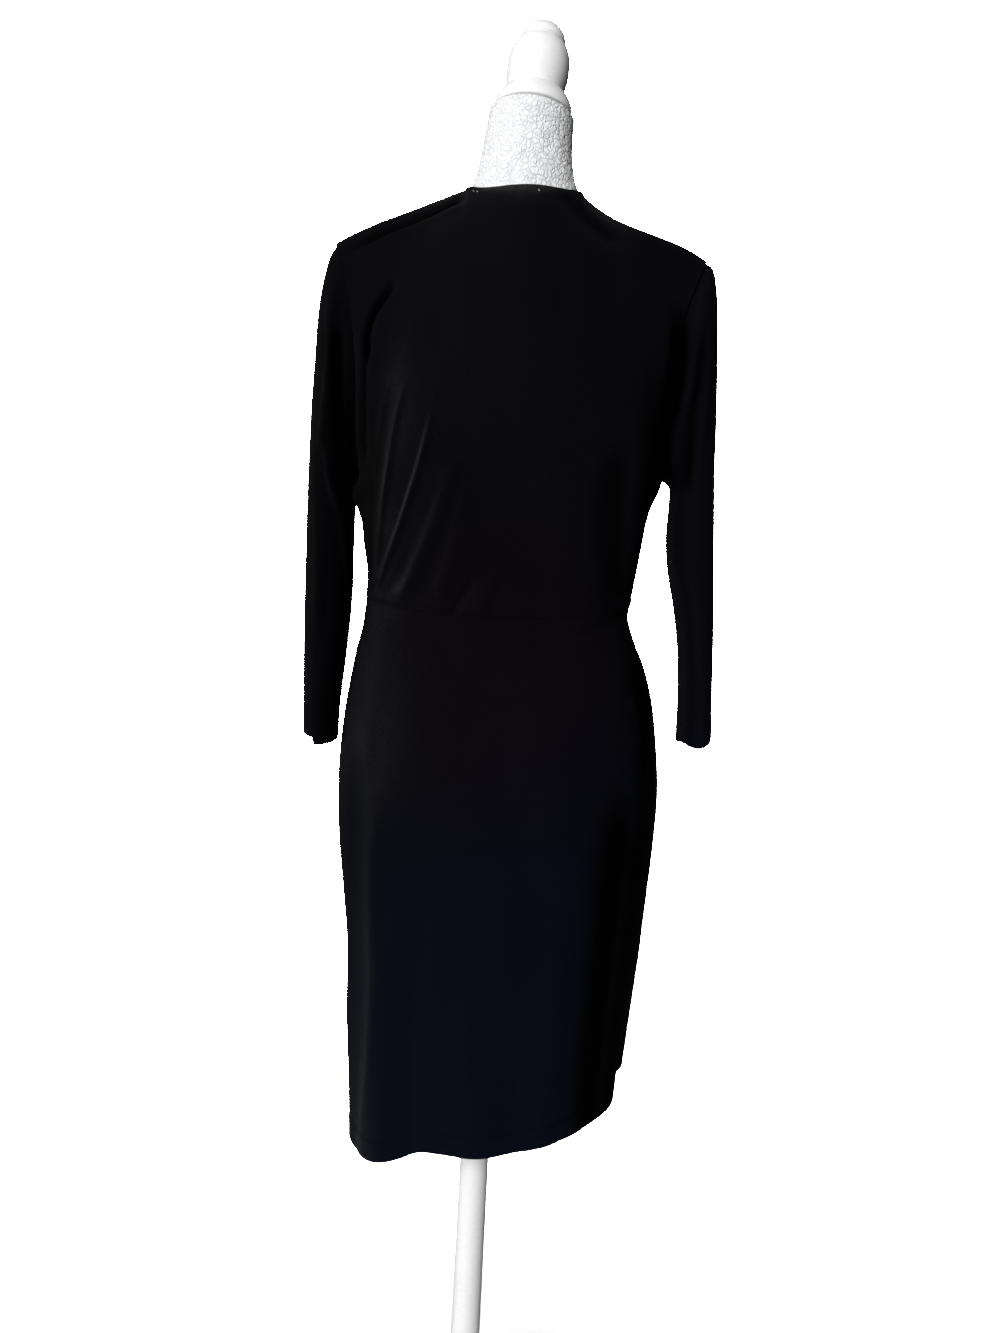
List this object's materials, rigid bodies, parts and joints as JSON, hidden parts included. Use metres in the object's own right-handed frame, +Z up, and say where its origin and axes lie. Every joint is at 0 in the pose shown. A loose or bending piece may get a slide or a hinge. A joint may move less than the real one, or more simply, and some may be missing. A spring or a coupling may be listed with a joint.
{
  "type": "wrap dress on dress form",
  "caption": "Knee-length black jersey wrap dress with bracelet-length sleeves, hanging on a white limbless dress form with a turned cap and finial, on a pole and round base.",
  "frame": {"origin": "centre of the base's flat underside, on the floor under the pole", "axes": "+Z up the pole, -Y the front of the dress, +X the wearer's left"},
  "size_m": [0.434, 0.33, 1.5972],
  "materials": {
    "black_jersey": "matte fine knit with a soft sheen",
    "form_cover": "white, finely crinkled cover",
    "white_lacquer": "smooth satin white paint",
    "stand_paint": "satin white paint"
  },
  "bodies": {
    "root": {"bodice_back": "black_jersey", "bodice_front_right": "black_jersey", "bodice_front_left": "black_jersey", "skirt_back": "black_jersey", "skirt_front_right": "black_jersey", "skirt_front_left": "black_jersey", "sleeve_left": "black_jersey", "sleeve_right": "black_jersey", "form_torso": "form_cover", "neck_cap": "white_lacquer", "finial": "white_lacquer", "stand_pole": "stand_paint", "stand_base": "stand_paint"}
  },
  "joints": []
}
